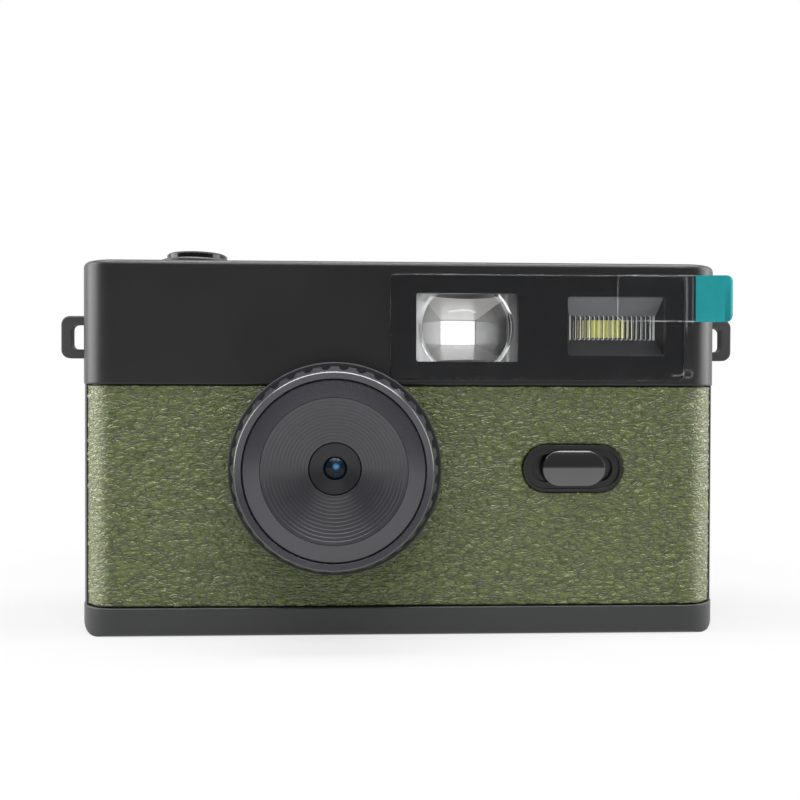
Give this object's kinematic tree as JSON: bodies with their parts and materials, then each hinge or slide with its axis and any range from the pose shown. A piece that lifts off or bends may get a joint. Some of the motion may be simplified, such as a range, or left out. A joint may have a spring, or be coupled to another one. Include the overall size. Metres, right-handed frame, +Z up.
{
  "type": "screenless digital camera",
  "caption": "Small box camera with a leather-grain front, round fixed lens, optical viewfinder, LED flash and no screen.",
  "frame": {"origin": "middle of the flat underside of the base plate", "axes": "+Z up, +X to the right seen from the front, +Y from the lens side to the back"},
  "size_m": [0.1248, 0.0367, 0.068],
  "materials": {
    "black_shell": "satin moulded black",
    "black_gloss": "polished black",
    "clear_plastic": "clear moulded",
    "leather": "olive pebble grain",
    "film": "thin clear film",
    "teal_tab": "teal printed tape",
    "lens_glass": "coated glass",
    "phosphor": "yellow phosphor",
    "circuit": "green solder mask",
    "chip": "matt black epoxy",
    "steel": "plated steel",
    "white_plastic": "white moulded",
    "battery_foil": "foil pouch",
    "ribbon": "amber flat cable"
  },
  "bodies": {
    "camera_body": {"base_plate": "black_shell", "front_shell": "black_shell", "rear_shell": "black_shell", "leather_covering": "leather", "top_cover": "black_shell", "window_cover": "clear_plastic", "window_mask": "black_gloss", "protective_film": "film", "pull_tab": "teal_tab", "viewfinder_lens": "clear_plastic", "viewfinder_tunnel": "black_gloss", "eyepiece_bezel": "black_shell", "eyepiece_lens": "clear_plastic", "flash_hood": "black_shell", "flash_lens": "clear_plastic", "flash_leds": "phosphor", "flash_board": "circuit", "lens_base": "black_shell", "lens_front": "black_shell", "stepped_baffle": "black_shell", "lens_barrel": "black_shell", "front_glass": "lens_glass", "rear_glass": "lens_glass", "lens_holder": "black_shell", "infrared_filter": "lens_glass", "image_sensor": "chip", "sensor_board": "circuit", "sensor_ribbon": "ribbon", "main_board": "circuit", "board_chips": "chip", "usb_socket": "steel", "card_socket": "steel", "battery": "battery_foil", "shutter_collar": "black_shell", "shutter_spring": "steel", "shutter_switch": "chip", "shutter_board": "circuit", "switch_bezel": "black_shell", "slide_switch": "steel", "power_switch": "chip", "control_board": "circuit", "status_led": "white_plastic", "status_light": "clear_plastic", "buzzer": "chip", "strap_lug_left": "black_shell", "strap_lug_right": "black_shell", "case_screws": "steel", "base_screws": "steel", "board_screws": "steel", "lens_screws": "steel"},
    "shutter_key": {"shutter_button": "black_gloss", "shutter_plunger": "black_shell"},
    "flash_knob": {"flash_switch_knob": "black_gloss", "slide_lever": "white_plastic"},
    "focus_ring": {"lens_ring": "black_shell"},
    "power_key": {"power_button": "black_shell", "power_plunger": "black_shell"}
  },
  "joints": [
    {"name": "shutter_press", "type": "slide", "parent": "camera_body", "child": "shutter_key", "axis": [0, 0, -1], "range_m": [0, 0.0009], "stiffness_N_per_m": 800, "springref_m": -0.0005, "deforming": ["shutter_spring"]},
    {"name": "flash_switch_slide", "type": "slide", "parent": "camera_body", "child": "flash_knob", "axis": [1, 0, 0], "range_m": [-0.0026, 0.0026]},
    {"name": "lens_ring_turn", "type": "hinge", "parent": "camera_body", "child": "focus_ring", "pos_m": [-0.0117, 0, 0.02978], "axis": [0, 1, 0], "range_deg": [0, 90]},
    {"name": "power_press", "type": "slide", "parent": "camera_body", "child": "power_key", "axis": [0, -1, 0], "range_m": [0, 0.0005], "stiffness_N_per_m": 1500, "springref_m": -0.0003}
  ]
}
